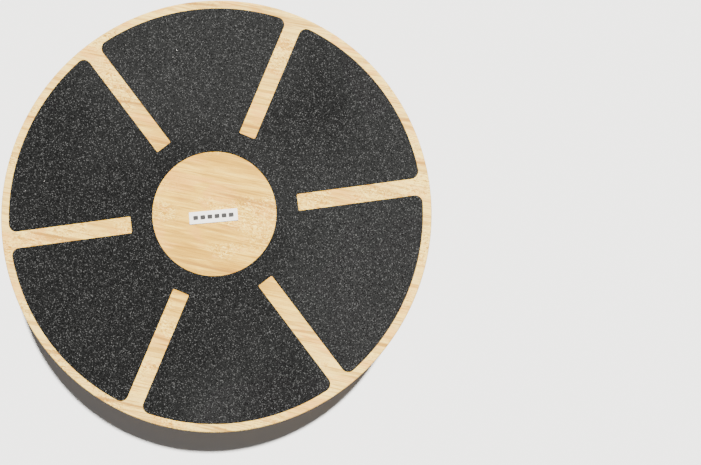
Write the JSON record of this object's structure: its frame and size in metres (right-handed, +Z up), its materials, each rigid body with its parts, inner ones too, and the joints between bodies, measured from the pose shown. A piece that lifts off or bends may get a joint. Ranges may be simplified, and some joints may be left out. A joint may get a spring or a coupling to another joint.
{
  "type": "balance board",
  "caption": "Round plywood balance board with a grit standing surface, on a hollow ribbed plastic dome that is screwed on under its middle.",
  "frame": {"origin": "the middle of the spot where the dome stands on the floor, straight below the deck's centre", "axes": "+Z up, out of the standing surface; +X along one of the grit sheet's slots; +Y completes the right-handed frame"},
  "size_m": [0.4, 0.4, 0.0804],
  "materials": {
    "face_veneer_wood": "pale birch face veneer under a thin satin varnish",
    "back_veneer_wood": "pinkish-brown open-pored back veneer, nearly matte",
    "core_wood": "cross-laid core veneers, sanded at the edge",
    "base_plastic": "black moulded plastic: satin flange, grained dome",
    "screw_steel": "bright zinc-plated steel",
    "grit": "black mineral grit on a self-adhesive film, coarse and sparkling",
    "label_white": "plain white plate with a row of plain dark marks and no words"
  },
  "bodies": {
    "root": {"bottom_veneer": "back_veneer_wood", "core_ply_1": "core_wood", "core_ply_2": "core_wood", "core_ply_3": "core_wood", "core_ply_4": "core_wood", "core_ply_5": "core_wood", "core_ply_6": "core_wood", "core_ply_7": "core_wood", "top_veneer": "face_veneer_wood", "grip_sheet": "grit", "label_plate": "label_white", "rocker_dome": "base_plastic", "base_flange": "base_plastic", "gusset_1": "base_plastic", "gusset_2": "base_plastic", "gusset_3": "base_plastic", "gusset_4": "base_plastic", "gusset_5": "base_plastic", "gusset_6": "base_plastic", "gusset_7": "base_plastic", "gusset_8": "base_plastic", "base_screw_1": "screw_steel", "base_screw_2": "screw_steel", "base_screw_3": "screw_steel", "base_screw_4": "screw_steel", "base_screw_5": "screw_steel", "base_screw_6": "screw_steel", "base_screw_7": "screw_steel", "base_screw_8": "screw_steel"}
  },
  "joints": []
}
